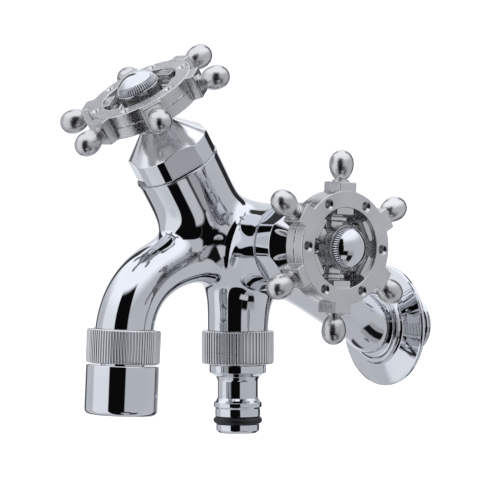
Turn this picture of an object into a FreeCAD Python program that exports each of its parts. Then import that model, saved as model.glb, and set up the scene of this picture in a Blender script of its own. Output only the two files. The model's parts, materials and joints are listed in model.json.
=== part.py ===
import FreeCAD, Part
import Sketcher
import math
import os

# Double outlet tap for a wall.  Millimetres.  Wall plane is Y = 0, the tap stands
# out towards -Y, +Z is up, the side valve points along +X.
# Origin: on the axis of the inlet thread, in the wall plane.

V = FreeCAD.Vector
doc = FreeCAD.newDocument("DoubleOutletTap")

# ---------------------------------------------------------------- dimensions
sheet = doc.addObject("Spreadsheet::Sheet", "Dims")
ROW = [0]


class Q:
    """A size with its value and its formula on the dimension sheet."""

    def __init__(self, v, e=None):
        self.v = float(v)
        self.e = e

    def text(self):
        return self.e if self.e is not None else "%.6g" % self.v

    @staticmethod
    def of(o):
        return o if isinstance(o, Q) else Q(o)

    def _mix(self, o, op, v):
        o = Q.of(o)
        if self.e is None and o.e is None:
            return Q(v)
        return Q(v, "(%s%s%s)" % (self.text(), op, o.text() if o.v >= 0 or o.e else "(%s)" % o.text()))

    def __add__(self, o):
        return self._mix(o, "+", self.v + Q.of(o).v)

    def __radd__(self, o):
        return Q.of(o) + self

    def __sub__(self, o):
        return self._mix(o, "-", self.v - Q.of(o).v)

    def __rsub__(self, o):
        return Q.of(o) - self

    def __mul__(self, o):
        return self._mix(o, "*", self.v * Q.of(o).v)

    def __rmul__(self, o):
        return Q.of(o) * self

    def __truediv__(self, o):
        return self._mix(o, "/", self.v / Q.of(o).v)

    def __neg__(self):
        return Q(0) - self


def dim(alias, value, note):
    ROW[0] += 1
    r = ROW[0]
    sheet.set("A%d" % r, note)
    sheet.set("B%d" % r, "%.6g" % value)
    sheet.setAlias("B%d" % r, alias)
    return Q(value, "Dims.%s" % alias)


# inlet and wall flange
stub_rad = dim("stub_rad", 10.478, "inlet thread, major radius (R 1/2)")
stub_len = dim("stub_len", 14.0, "inlet thread, length behind the wall plane")
stub_bore = dim("stub_bore", 7.2, "inlet bore radius")
base_rad = dim("base_rad", 12.0, "round base of the inlet leg, radius")
base_len = dim("base_len", 6.4, "round base of the inlet leg, length")
flange_rad = dim("flange_rad", 22.4, "wall flange radius")
flange_rim = dim("flange_rim", 1.5, "wall flange rim thickness")
flange_lip = dim("flange_lip", 13.7, "wall flange lip outer radius")
flange_out = dim("flange_out", 6.2, "wall flange total thickness")
# inlet leg
leg_rad = dim("leg_rad", 9.3, "inlet leg radius")
leg_rise = dim("leg_rise", 28.0, "inlet leg rise above horizontal, degrees")
# central node
node_y = dim("node_y", 70.5, "distance of the node and the lower outlet from the wall")
node_z = dim("node_z", 32.0, "height of the node above the inlet axis")
node_rad = dim("node_rad", 15.4, "node sphere radius")
# valve necks
rim_rad = dim("rim_rad", 15.45, "valve neck rim radius")
neck_rad = dim("neck_rad", 15.15, "valve neck radius")
shank_rad = dim("shank_rad", 10.0, "plain shank in front of the inlet thread, radius")
side_out = dim("side_out", 28.2, "side valve rim plane, distance from the node along X")
top_y = dim("top_y", 98.3, "top valve rim plane centre, distance from the wall")
top_z = dim("top_z", 60.4, "top valve rim plane centre, height")
top_lean = dim("top_lean", 32.0, "top valve lean forward from vertical, degrees")
spig_rad = dim("spig_rad", 12.5, "threaded spigot radius under the cap nut")
spig_len = dim("spig_len", 8.0, "threaded spigot length")
seat_w = dim("seat_w", 21.2, "depth of the valve seat under the rim plane")
seat_bore = dim("seat_bore", 5.0, "valve seat opening radius")
seat_face = dim("seat_face", 7.0, "valve seat ring outer radius")
cham_rad = dim("cham_rad", 9.0, "valve chamber radius")
# cap nut
nut_rad = dim("nut_rad", 15.3, "cap nut, radius of the turned blank")
nut_af = dim("nut_af", 28.1, "cap nut, across the wrench flats")
nut_hgt = dim("nut_hgt", 16.9, "cap nut height")
nut_flat = dim("nut_flat", 8.0, "cap nut, height of the round side")
nut_top = dim("nut_top", 6.2, "cap nut, top face radius")
# spindle
stem_rad = dim("stem_rad", 4.5, "spindle shaft radius")
stem_thr = dim("stem_thr", 7.0, "spindle thread major radius")
stem_end = dim("stem_end", 3.55, "spindle end radius in the wheel hub")
run_gap = dim("run_gap", 0.06, "radial running clearance")
# wheel handle
knob_w = dim("knob_w", 27.0, "knob plane above the rim plane")
ring_out = dim("ring_out", 19.7, "wheel ring outer radius")
ring_in = dim("ring_in", 14.0, "wheel ring inner radius")
ring_half = dim("ring_half", 4.5, "wheel ring half thickness")
hub_cup = dim("hub_cup", 7.8, "wheel hub cup radius")
hub_boss = dim("hub_boss", 5.5, "wheel hub boss radius")
spoke_half = dim("spoke_half", 3.0, "spoke half width")
hole_ring = dim("hole_ring", 16.9, "radius of the circle of the six ring holes")
knob_long = dim("knob_long", 5.5, "knob half length")
knob_wide = dim("knob_wide", 4.3, "knob half width")
knob_pos = dim("knob_pos", 28.4, "knob centre, distance from the wheel axis")
block_out = dim("block_out", 22.8, "knob block outer distance")
block_wid = dim("block_wid", 7.5, "knob block width")
block_thk = dim("block_thk", 8.8, "knob block thickness along the axis")
pin_hole = dim("pin_hole", 1.6, "radius of the six holes in the ring")
# outlets
out_thr = dim("out_thr", 10.0, "outlet thread major radius")
out_len = dim("out_len", 9.0, "outlet thread length")
out_bore = dim("out_bore", 6.8, "outlet bore radius")
hose_tube = dim("hose_tube", 10.85, "lower outlet tube radius")
hose_top = dim("hose_top", 0.8, "height of the lower union nut's top face")
spout_tube = dim("spout_tube", 10.2, "spout tube radius")
spout_bend = dim("spout_bend", 30.0, "spout bend radius on the centre line")
spout_y = dim("spout_y", 121.55, "spout union nut top, distance from the wall")
spout_z = dim("spout_z", 3.0, "spout union nut top, height")
spout_tilt = dim("spout_tilt", 3.0, "spout outlet tilt from vertical, degrees")
uni_rad = dim("uni_rad", 13.0, "union nut radius over the knurl")
uni_hgt = dim("uni_hgt", 12.0, "union nut height")
uni_teeth = dim("uni_teeth", 60, "ridges on the union nut")
cap_rad = dim("cap_rad", 12.9, "spout nozzle radius")
cap_hgt = dim("cap_hgt", 17.6, "spout nozzle visible height")
doc.recompute()

# ---------------------------------------------------------------- helpers
OUT = []          # (object, node name)


def rot_from_z(d):
    return FreeCAD.Rotation(V(0, 0, 1), d)


def plane_of(body, role):
    for f in body.Origin.OriginFeatures:
        if f.Role == role:
            return f
    raise RuntimeError(role)


def axis_of(body, role):
    return plane_of(body, role)


def new_body(name, placement=None):
    b = doc.addObject("PartDesign::Body", name)
    b.Label = name
    if placement is not None:
        b.Placement = placement
    OUT.append((b, name))
    return b


def bind(sk, idx, q):
    q = Q.of(q)
    if q.e is not None:
        sk.setExpression("Constraints[%d]" % idx, q.e)


def pin_point(sk, geo, pos, x, y):
    """Fix a point of the sketch at (x, y) from the sketch origin."""
    x, y = Q.of(x), Q.of(y)
    if x.v == 0 and x.e is None:
        sk.addConstraint(Sketcher.Constraint("PointOnObject", geo, pos, -2))
    else:
        bind(sk, sk.addConstraint(Sketcher.Constraint("DistanceX", -1, 1, geo, pos, x.v)), x)
    if y.v == 0 and y.e is None:
        sk.addConstraint(Sketcher.Constraint("PointOnObject", geo, pos, -1))
    else:
        bind(sk, sk.addConstraint(Sketcher.Constraint("DistanceY", -1, 1, geo, pos, y.v)), y)


def sketch(body, name, role, loops=(), circles=(), lift=None):
    sk = body.newObject("Sketcher::SketchObject", name)
    sk.AttachmentSupport = [(plane_of(body, role), "")]
    sk.MapMode = "FlatFace"
    if lift is not None:
        q = Q.of(lift)
        sk.AttachmentOffset = FreeCAD.Placement(V(0, 0, q.v), FreeCAD.Rotation())
        if q.e is not None:
            sk.setExpression("AttachmentOffset.Base.z", q.e)
    for pts in loops:
        n0 = sk.GeometryCount
        n = len(pts)
        P = [V(Q.of(a).v, Q.of(b).v, 0) for a, b in pts]
        for i in range(n):
            sk.addGeometry(Part.LineSegment(P[i], P[(i + 1) % n]), False)
        for i in range(n):
            sk.addConstraint(Sketcher.Constraint("Coincident", n0 + i, 2, n0 + (i + 1) % n, 1))
        for i in range(n):
            pin_point(sk, n0 + i, 1, pts[i][0], pts[i][1])
    for (cx, cy, r) in circles:
        n0 = sk.GeometryCount
        cxq, cyq, rq = Q.of(cx), Q.of(cy), Q.of(r)
        sk.addGeometry(Part.Circle(V(cxq.v, cyq.v, 0), V(0, 0, 1), rq.v), False)
        pin_point(sk, n0, 3, cx, cy)
        bind(sk, sk.addConstraint(Sketcher.Constraint("Radius", n0, rq.v)), rq)
    sk.Visibility = False
    return sk


def revolve(body, name, pts, axis="V_Axis", role="XZ_Plane", kind="PartDesign::Revolution"):
    sk = sketch(body, name + "_profile", role, [pts])
    f = body.newObject(kind, name)
    f.Profile = sk
    f.ReferenceAxis = (sk, [axis])
    f.Angle = 360.0
    return f


def groove(body, name, pts, axis="V_Axis"):
    return revolve(body, name, pts, axis, "XZ_Plane", "PartDesign::Groove")


def pad(body, name, role, length, loops=(), circles=(), mid=False, rev=False, lift=None):
    sk = sketch(body, name + "_outline", role, loops, circles, lift)
    f = body.newObject("PartDesign::Pad", name)
    f.Profile = sk
    q = Q.of(length)
    f.Length = q.v
    if q.e is not None:
        f.setExpression("Length", q.e)
    f.Midplane = mid
    f.Reversed = rev
    return f


def pocket(body, name, role, length, loops=(), circles=(), mid=False, rev=False, lift=None):
    sk = sketch(body, name + "_outline", role, loops, circles, lift)
    f = body.newObject("PartDesign::Pocket", name)
    f.Profile = sk
    q = Q.of(length)
    f.Length = q.v
    if q.e is not None:
        f.setExpression("Length", q.e)
    f.Midplane = mid
    f.Reversed = rev
    return f


def polar(body, name, originals, count):
    f = body.newObject("PartDesign::PolarPattern", name)
    f.Originals = originals
    f.Axis = (axis_of(body, "Z_Axis"), [""])
    f.Angle = 360.0
    q = Q.of(count)
    f.Occurrences = int(q.v)
    if q.e is not None:
        f.setExpression("Occurrences", q.e)
    body.Tip = f
    return f


def check_volume(body, before, sign, what):
    doc.recompute()
    v = body.Shape.Volume
    if (v - before) * sign <= 0:
        raise RuntimeError("no change of volume: " + what)
    return v


# ---------------------------------------------------------------- frames of the branches
lean = math.radians(top_lean.v)
TOP_AX = V(0, -math.sin(lean), math.cos(lean))
TOP_O = V(0, -top_y.v, top_z.v)
SIDE_AX = V(1, 0, 0)
SIDE_O = V(side_out.v, -node_y.v, node_z.v)
NODE = V(0, -node_y.v, node_z.v)


def frame_on(origin, zaxis, xaxis):
    z = V(zaxis).normalize()
    x = V(xaxis)
    x = (x - z * x.dot(z)).normalize()
    y = z.cross(x)
    m = FreeCAD.Matrix(x.x, y.x, z.x, origin.x, x.y, y.y, z.y, origin.y, x.z, y.z, z.z, origin.z, 0, 0, 0, 1)
    return FreeCAD.Placement(m)


# the valve frames: +Z outwards along the spindle, origin in the rim plane
TOP_F = frame_on(TOP_O, TOP_AX, V(1, 0, 0))
SIDE_F = frame_on(SIDE_O, SIDE_AX, V(0, 0, 1))
tilt = math.radians(spout_tilt.v)
SPOUT_UP = V(0, math.sin(tilt), math.cos(tilt))
SPOUT_O = V(0, -spout_y.v, spout_z.v)
SPOUT_F = frame_on(SPOUT_O, SPOUT_UP, V(1, 0, 0))
HOSE_O = V(0, -node_y.v, hose_top.v)
HOSE_F = frame_on(HOSE_O, V(0, 0, 1), V(1, 0, 0))


# ---------------------------------------------------------------- body casting
def cyl(name, p0, axis, rad, length):
    """Cylinder from p0 along axis."""
    o = doc.addObject("Part::Cylinder", name)
    rq, lq = Q.of(rad), Q.of(length)
    o.Radius, o.Height = rq.v, lq.v
    if rq.e is not None:
        o.setExpression("Radius", rq.e)
    if lq.e is not None:
        o.setExpression("Height", lq.e)
    o.Placement = FreeCAD.Placement(p0, rot_from_z(axis))
    return o


def ball(name, c, rad):
    o = doc.addObject("Part::Sphere", name)
    rq = Q.of(rad)
    o.Radius = rq.v
    if rq.e is not None:
        o.setExpression("Radius", rq.e)
    o.Placement = FreeCAD.Placement(c, FreeCAD.Rotation())
    return o


def between(name, a, b, rad):
    return cyl(name, a, b - a, rad, (b - a).Length)


rise = math.radians(leg_rise.v)
LEG_DIR = V(0, -math.cos(rise), math.sin(rise))
LEG_A = V(0, -5.6, -0.9)
LEG_B = LEG_A + LEG_DIR * 73.0

# the spout's bend: tangent to the tilted outlet axis at its lower end
BEND_A = SPOUT_O - SPOUT_UP * 3.65
side_n = V(0, math.cos(tilt), -math.sin(tilt))      # towards the wall, square to the outlet axis
BEND_C = BEND_A + side_n * spout_bend.v
BEND_ANG = 80.0


def bend(name, rad):
    o = doc.addObject("Part::Torus", name)
    rq = Q.of(rad)
    o.Radius1, o.Radius2 = spout_bend.v, rq.v
    o.setExpression("Radius1", spout_bend.e)
    if rq.e is not None:
        o.setExpression("Radius2", rq.e)
    o.Angle3 = BEND_ANG
    # start radius points from the centre to the outlet axis, turning upwards
    x = (BEND_A - BEND_C).normalize()
    y = SPOUT_UP
    o.Placement = frame_on(BEND_C, x.cross(y), x)
    return o


ang = math.radians(BEND_ANG)
x_ = (BEND_A - BEND_C).normalize()
BEND_B = BEND_C + (x_ * math.cos(ang) + SPOUT_UP * math.sin(ang)) * spout_bend.v
BEND_DIR = (x_ * -math.sin(ang) + SPOUT_UP * math.cos(ang)).normalize()

shell_parts = [
    cyl("inlet_stub", V(0, 0, 0), V(0, 1, 0), stub_rad, stub_len),
    cyl("inlet_shank", V(0, -3.0, 0), V(0, 1, 0), shank_rad, 4.0),
    cyl("leg_base", V(0, -base_len.v, 0), V(0, 1, 0), base_rad, base_len - 2.7),
    ball("leg_elbow", V(0, -6.6, 0.0), 10.4),
    between("leg_tube", LEG_A, LEG_B, leg_rad),
    ball("node_ball", NODE, node_rad),
    cyl("side_neck", NODE, SIDE_AX, neck_rad, side_out),
    cyl("side_rim", SIDE_O - SIDE_AX * 0.9, SIDE_AX, rim_rad, 0.9),
    cyl("side_spigot", SIDE_O - SIDE_AX, SIDE_AX, spig_rad, spig_len + 1.0),
    cyl("top_neck", TOP_O - TOP_AX * 26.0, TOP_AX, neck_rad, 26.0),
    cyl("top_rim", TOP_O - TOP_AX * 0.9, TOP_AX, rim_rad, 0.9),
    ball("top_neck_end", TOP_O - TOP_AX * 26.0, neck_rad - 0.1),
    cyl("top_spigot", TOP_O - TOP_AX, TOP_AX, spig_rad, spig_len + 1.0),
    cyl("lower_tube", V(0, -node_y.v, hose_top.v + 0.3), V(0, 0, 1), hose_tube, 28.0),
    cyl("lower_thread", HOSE_O - V(0, 0, out_len.v), V(0, 0, 1), out_thr, out_len + 2.0),
    cyl("spout_thread", SPOUT_O - SPOUT_UP * out_len.v, SPOUT_UP, out_thr, out_len + 1.5),
    between("spout_root", BEND_B - BEND_DIR * 0.5, BEND_B + BEND_DIR * 18.0, spout_tube),
]
# a slight swell where the bend runs into the spout's root
shell_parts.append(ball("spout_swell", BEND_B, spout_tube + 0.35))
# the bend's tube stops just above the union nut
bend_tube = bend("spout_bend_tube", spout_tube)
bend_trim = cyl("spout_bend_trim", SPOUT_O + SPOUT_UP * 0.3, SPOUT_UP * -1.0, 14.0, 6.0)
bend_cut = doc.addObject("Part::Cut", "spout_bend_short")
bend_cut.Base, bend_cut.Tool = bend_tube, bend_trim
shell_parts.append(bend_cut)
outside = doc.addObject("Part::MultiFuse", "casting_outside")
outside.Shapes = shell_parts
doc.recompute()


def lathe_cut(name, frame, pts):
    """Closed turned solid about the +Z of a frame, from (radius, height) points."""
    P = [V(Q.of(a).v, 0, Q.of(b).v) for a, b in pts]
    w = Part.makePolygon(P + [P[0]])
    s = Part.Face(w).revolve(V(0, 0, 0), V(0, 0, 1), 360)
    o = doc.addObject("Part::Feature", name)
    o.Shape = s
    o.Placement = frame
    return o


# water ways.  One oblique passage runs from the inlet under both seats.
PASS_A = V(0, -6.0, 0.5)
PASS_B = V(-3.4, -80.0, 37.0)
TOP_SEAT = TOP_O - TOP_AX * seat_w.v
SIDE_SEAT = SIDE_O - SIDE_AX * seat_w.v


def valve_chamber(tag, frame):
    """Spindle thread, chamber and raised seat ring of one valve."""
    s = -seat_w
    return lathe_cut(tag + "_chamber", frame, [
        (0, s), (seat_bore, s), (seat_face - 0.8, s), (seat_face, s - 0.8), (seat_face, s - 1.5), (cham_rad, s - 1.5),
        (cham_rad, -10.5), (stem_thr + run_gap, -9.0), (stem_thr + run_gap, spig_len + 0.5),
        (0, spig_len + 0.5)])


hollow_parts = [
    cyl("inlet_bore", V(0, 1.0, 0), V(0, 1, 0), stub_bore, stub_len + 1.0),
    cyl("inlet_throat", V(0, -6.5, 0.2), V(0, 1, 0), seat_bore + 0.6, 8.0),
    ball("inlet_turn", V(0, -6.5, 0.2), seat_bore + 0.6),
    between("leg_passage", PASS_A, PASS_B, seat_bore),
    cyl("side_seat_hole", V(-2.9, -node_y.v, node_z.v), SIDE_AX, seat_bore, SIDE_SEAT.x + 2.9 + 0.2),
    cyl("top_seat_hole", TOP_O - TOP_AX * 31.0, TOP_AX, seat_bore, 31.0 - seat_w.v + 0.2),
    valve_chamber("side", SIDE_F),
    valve_chamber("top", TOP_F),
    between("side_drop", V(0.0, -node_y.v, 10.8), V(12.5, -node_y.v, 25.2), 4.5),
    cyl("lower_bore", HOSE_O - V(0, 0, out_len.v + 1.0), V(0, 0, 1), out_bore, 23.0),
    between("top_drop", V(0, -99.0, 26.4), V(0, -93.0, 42.0), 5.2),
    bend("spout_bend_bore", out_bore),
    ball("spout_bore_turn", BEND_A, out_bore + 0.3),
    cyl("spout_bore", SPOUT_O - SPOUT_UP * (out_len.v + 1.0), SPOUT_UP, out_bore, out_len.v + 1.0 - 3.0),
]
inside = doc.addObject("Part::MultiFuse", "casting_hollow")
inside.Shapes = hollow_parts
body = doc.addObject("Part::Cut", "casting")
body.Base, body.Tool = outside, inside
body.Label = "body"
OUT.append((body, "body"))
doc.recompute()

# ---------------------------------------------------------------- wall flange
# turned about its own +Z, which points away from the wall (-Y of the tap)
FL_F = frame_on(V(0, 0, 0), V(0, -1, 0), V(1, 0, 0))
fl = new_body("wall_flange", FL_F)
revolve(fl, "flange_turned", [
    (stub_rad + 0.15, 0), (flange_rad - 0.4, 0), (flange_rad, 0.4), (flange_rad, flange_rim - 0.3), (flange_rad - 0.5, flange_rim + 0.1),
    (flange_lip + 1.2, 3.7), (flange_lip, 4.3), (flange_lip, flange_out - 0.5), (flange_lip - 0.5, flange_out),
    (base_rad + 0.15, flange_out), (base_rad + 0.15, 2.7), (stub_rad + 0.15, 2.7)])
doc.recompute()


# ---------------------------------------------------------------- valves
def cap_nut(tag, frame, turn):
    """Turned blank with a conical top and four wrench flats, the first at +X of its own frame."""
    f = FreeCAD.Placement(frame)
    f.Rotation = f.Rotation.multiply(FreeCAD.Rotation(V(0, 0, 1), turn))
    b = new_body(tag + "_cap_nut", f)
    revolve(b, "nut_turned", [
        (0, 0), (nut_rad - 0.3, 0), (nut_rad, 0.3), (nut_rad, nut_flat), (nut_top, nut_hgt - 0.3), (nut_top - 0.5, nut_hgt), (0, nut_hgt)])
    doc.recompute()
    v0 = b.Shape.Volume
    bore = groove(b, "nut_bore", [
        (0, -1.0), (spig_rad + 0.9, -1.0), (spig_rad + 0.05, 0.6), (spig_rad + 0.05, spig_len + 0.05), (9.3, spig_len + 0.05),
        (9.3, spig_len + 1.6), (8.0, spig_len + 1.6), (7.6, spig_len + 4.4), (5.6, spig_len + 5.9),
        (stem_rad + run_gap, spig_len + 5.9), (stem_rad + run_gap, nut_hgt + 1.0), (0, nut_hgt + 1.0)])
    b.Tip = bore
    v1 = check_volume(b, v0, -1, "nut bore")
    flat = pocket(b, "wrench_flat", "XY_Plane", nut_hgt * 2.5,
                  [[(nut_af / 2, -9.0), (nut_rad + 2.0, -9.0), (nut_rad + 2.0, 9.0), (nut_af / 2, 9.0)]], mid=True)
    b.Tip = flat
    v2 = check_volume(b, v1, -1, "wrench flat")
    polar(b, "wrench_flats", [flat], 4)
    check_volume(b, v2, -1, "four wrench flats")
    return b


def packing_washer(tag, frame):
    b = new_body(tag + "_packing_washer", frame)
    revolve(b, "washer_turned", [
        (stem_rad + run_gap, spig_len + 0.1), (9.2, spig_len + 0.1), (9.2, spig_len + 1.5), (stem_rad + run_gap, spig_len + 1.5)])


def gland_packing(tag, frame):
    b = new_body(tag + "_gland_packing", frame)
    revolve(b, "packing_moulded", [
        (stem_rad + run_gap, spig_len + 1.6), (7.9, spig_len + 1.6), (7.5, spig_len + 4.3), (5.5, spig_len + 5.8),
        (stem_rad + run_gap, spig_len + 5.8)])


def spindle(tag, frame):
    b = new_body(tag + "_spindle", frame)
    revolve(b, "spindle_turned", [
        (0, -15.5), (stem_thr - 1.2, -15.5), (stem_thr - 0.7, -15.0), (stem_thr - 0.7, -12.5), (stem_thr, -11.6), (stem_thr, 2.9),
        (stem_thr - 0.6, 3.5), (stem_rad, 3.5), (stem_rad, 17.8), (stem_end, 17.8), (stem_end, 25.0),
        (stem_end - 0.4, 25.4), (0, 25.4)])
    doc.recompute()
    v0 = b.Shape.Volume
    groove(b, "stem_socket", [(0, -16.5), (3.0, -16.5), (3.0, -7.2), (0, -5.6)])
    v1 = check_volume(b, v0, -1, "jumper socket")
    groove(b, "screw_thread", [(0, 15.0), (1.7, 16.7), (1.7, 26.0), (0, 26.0)])
    check_volume(b, v1, -1, "handle screw hole")


def jumper(tag, frame):
    b = new_body(tag + "_jumper_valve", frame)
    s = -seat_w
    revolve(b, "jumper_turned", [
        (0, s - 2.6), (1.4, s - 2.6), (1.4, s + 3.25), (7.4, s + 3.25), (7.6, s + 3.5), (7.6, s + 4.9), (7.2, s + 5.3),
        (2.94, s + 5.3), (2.94, s + 13.2), (2.3, s + 13.9), (0, s + 13.9)])
    w = new_body(tag + "_jumper_washer", frame)
    revolve(w, "washer_moulded", [(1.45, s + 0.02), (7.0, s + 0.02), (7.4, s + 0.5), (7.4, s + 3.2), (1.45, s + 3.2)])
    n = new_body(tag + "_jumper_nut", frame)
    hexa = [(Q(3.3 * math.cos(math.radians(60 * k))), Q(3.3 * math.sin(math.radians(60 * k)))) for k in range(6)]
    sk = sketch(n, "nut_outline", "XY_Plane", [hexa], [(0, 0, 1.46)])
    p = n.newObject("PartDesign::Pad", "nut_pad")
    p.Profile = sk
    p.Length = 2.2
    n.Placement = frame.multiply(FreeCAD.Placement(V(0, 0, s.v - 2.25), FreeCAD.Rotation()))


def knob_profile():
    """Half outline of the neck and egg-shaped knob, along the radius."""
    pts = [(block_out - 0.5, 0), (block_out - 0.5, 3.0), (block_out + 0.75, 3.0), (block_out + 0.75, 2.35)]
    n = 12
    for k in range(2, n):
        t = math.pi * (k / float(n))
        # the egg is a little fuller on its outer half
        x = -math.cos(t)
        y = math.sin(t) * (1.0 + 0.05 * x)
        pts.append((knob_pos + knob_long * x, knob_wide * y))
    pts.append((knob_pos + knob_long - 0.02, 0.5))
    pts.append((knob_pos + knob_long, 0))
    return pts


def wheel(tag, frame, phase):
    """Ship's wheel.  Its own frame has the knob plane at Z = 0."""
    f = frame.multiply(FreeCAD.Placement(V(0, 0, knob_w.v), FreeCAD.Rotation(V(0, 0, 1), phase)))
    b = new_body(tag + "_wheel_handle", f)
    hf = ring_half
    revolve(b, "ring_turned", [
        (ring_in, -hf), (ring_out - 0.5, -hf), (ring_out, 0.5 - hf), (ring_out, hf - 0.5), (ring_out - 0.5, hf), (ring_in, hf)])
    web = revolve(b, "web_turned", [(4.5, -4.0), (ring_in + 0.5, -4.0), (ring_in + 0.5, -2.7), (4.5, -2.7)])
    b.Tip = web
    sp = spoke_half
    spoke = pad(b, "spoke_bar", "YZ_Plane", ring_in - 4.5,
                [[(-sp, -4.2), (sp, -4.2), (sp, -1.5), (sp - 1.0, -0.6), (1.0 - sp, -0.6), (-sp, -1.5)]], lift=5.0)
    bead = pad(b, "spoke_bead", "YZ_Plane", 1.6,
               [[(-sp - 0.8, -4.3), (sp + 0.8, -4.3), (sp + 0.8, -1.2), (sp - 0.6, 0.2), (0.6 - sp, 0.2), (-sp - 0.8, -1.2)]], lift=9.2)
    tab = pad(b, "spoke_tab", "YZ_Plane", 3.2, [[(-3.9, -4.3), (3.9, -4.3), (3.9, 3.4), (-3.9, 3.4)]], lift=ring_in - 2.6)
    hb, ht = block_wid / 2, block_thk / 2
    block = pad(b, "knob_block", "YZ_Plane", block_out - ring_out + 1.0, [[(-hb, -ht), (hb, -ht), (hb, ht), (-hb, ht)]],
                lift=ring_out - 1.0)
    knob = revolve(b, "knob_turned", knob_profile(), axis="H_Axis")
    doc.recompute()
    v0 = b.Shape.Volume
    polar(b, "six_arms", [spoke, bead, tab, block, knob], 6)
    v1 = check_volume(b, v0, 1, "six arms")
    hub = revolve(b, "hub_turned", [
        (0, -9.1), (hub_boss - 0.3, -9.1), (hub_boss, -8.8), (hub_boss, -4.2), (hub_cup - 0.6, -1.6), (hub_cup, -0.8),
        (hub_cup, 5.0), (hub_cup - 0.3, 5.3), (0, 5.3)])
    b.Tip = hub
    v2 = check_volume(b, v1, 1, "hub")
    cup = groove(b, "cup_turned", [(0, 1.4), (7.05, 1.4), (7.05, 6.5), (0, 6.5)])
    b.Tip = cup
    v3 = check_volume(b, v2, -1, "hub cup")
    sock = groove(b, "socket_bored", [(0, -10.0), (stem_end + 0.05, -10.0), (stem_end + 0.05, -1.4), (2.15, -1.4), (2.15, 2.0), (0, 2.0)])
    b.Tip = sock
    v4 = check_volume(b, v3, -1, "hub socket")
    pr = hole_ring
    hole = pocket(b, "ring_hole", "XY_Plane", ring_half * 2 + 4.0, circles=[(pr * 0.866025, pr * 0.5, pin_hole)], mid=True)
    b.Tip = hole
    v5 = check_volume(b, v4, -1, "ring hole")
    polar(b, "six_holes", [hole], 6)
    check_volume(b, v5, -1, "six ring holes")
    # screw and button
    s = new_body(tag + "_handle_screw", f)
    revolve(s, "screw_turned", [
        (0, -9.6), (1.2, -9.6), (1.65, -9.1), (1.65, 1.45), (3.5, 1.45), (3.5, 2.6), (2.6, 3.4), (0, 3.6)])
    doc.recompute()
    vs = s.Shape.Volume
    slot = pocket(s, "screw_slot", "XY_Plane", 1.2, [[(-3.7, -0.45), (3.7, -0.45), (3.7, 0.45), (-3.7, 0.45)]], lift=2.6, rev=True)
    s.Tip = slot
    check_volume(s, vs, -1, "screw slot")
    c = new_body(tag + "_handle_button", f)
    revolve(c, "button_turned", [
        (0, 4.0), (7.0, 4.0), (7.0, 5.35), (7.6, 5.35), (7.7, 5.5), (7.7, 5.75), (6.5, 7.9), (6.3, 8.3), (5.6, 9.25), (4.4, 10.05),
        (2.9, 10.6), (1.4, 10.9), (0, 11.0)])
    doc.recompute()
    vc = c.Shape.Volume
    g = pocket(c, "button_serration", "XY_Plane", 3.0, [[(6.75, 0), (8.2, -0.4), (8.2, 0.4)]], lift=5.7, rev=True)
    c.Tip = g
    vg = check_volume(c, vc, -1, "button serration")
    polar(c, "button_serrations", [g], 44)
    check_volume(c, vg, -1, "button serrations")


for tag, frame, nut_turn, phase in (("top", TOP_F, 67.0, 30.0), ("side", SIDE_F, 36.3, -3.5)):
    cap_nut(tag, frame, nut_turn)
    packing_washer(tag, frame)
    gland_packing(tag, frame)
    spindle(tag, frame)
    jumper(tag, frame)
    wheel(tag, frame, phase)
doc.recompute()


# ---------------------------------------------------------------- outlets
def union_nut(tag, frame, hold):
    """Knurled nut; its own frame has the top face at Z = 0 and the nut below."""
    b = new_body(tag + "_union_nut", frame)
    u = uni_hgt
    revolve(b, "nut_turned", [
        (hold, -u), (uni_rad - 0.7, -u), (uni_rad, 0.6 - u), (uni_rad, -0.5), (uni_rad - 0.5, 0), (out_thr + 0.9, 0), (out_thr + 0.06, -0.8),
        (out_thr + 0.06, -out_len - 1.65), (hold, -out_len - 1.65)])
    doc.recompute()
    v0 = b.Shape.Volume
    g = pocket(b, "knurl_groove", "XY_Plane", uni_hgt + 2.0, [[(uni_rad - 0.45, 0), (uni_rad + 0.3, -0.5), (uni_rad + 0.3, 0.5)]],
               lift=-uni_hgt - 1.0, rev=True)
    b.Tip = g
    v1 = check_volume(b, v0, -1, "knurl groove")
    polar(b, "knurl", [g], uni_teeth)
    check_volume(b, v1, -1, "knurl")


union_nut("hose", HOSE_F, 8.15)
union_nut("spout", SPOUT_F, 8.15)

# quick-connect nipple under the lower union nut
u = uni_hgt
nip = new_body("hose_nipple", HOSE_F)
revolve(nip, "nipple_turned", [
    (4.6, -36.9), (7.2, -36.9), (7.8, -36.2), (7.8, -33.7), (5.88, -33.7), (5.88, -30.9), (8.15, -30.9), (8.15, -27.9), (8.7, -27.4), (8.7, -25.9),
    (7.9, -25.2), (7.3, -24.0), (7.3, -18.0), (8.0, -16.6), (9.4, -15.4), (10.3, -15.1), (10.3, -u - 0.35), (7.8, -u - 0.35), (7.8, -10.55), (9.65, -10.55),
    (9.65, -9.6), (4.6, -9.6)])
ring = new_body("hose_o_ring", HOSE_F)
sk = sketch(ring, "o_ring_section", "XZ_Plane", circles=[(7.25, -32.3, 1.35)])
f = ring.newObject("PartDesign::Revolution", "o_ring_moulded")
f.Profile = sk
f.ReferenceAxis = (sk, ["V_Axis"])
f.Angle = 360.0
gask = new_body("hose_gasket", HOSE_F)
revolve(gask, "gasket_cut", [(out_bore, -out_len - 0.55), (9.6, -out_len - 0.55), (9.6, -out_len - 0.02), (out_bore, -out_len - 0.02)])

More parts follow.
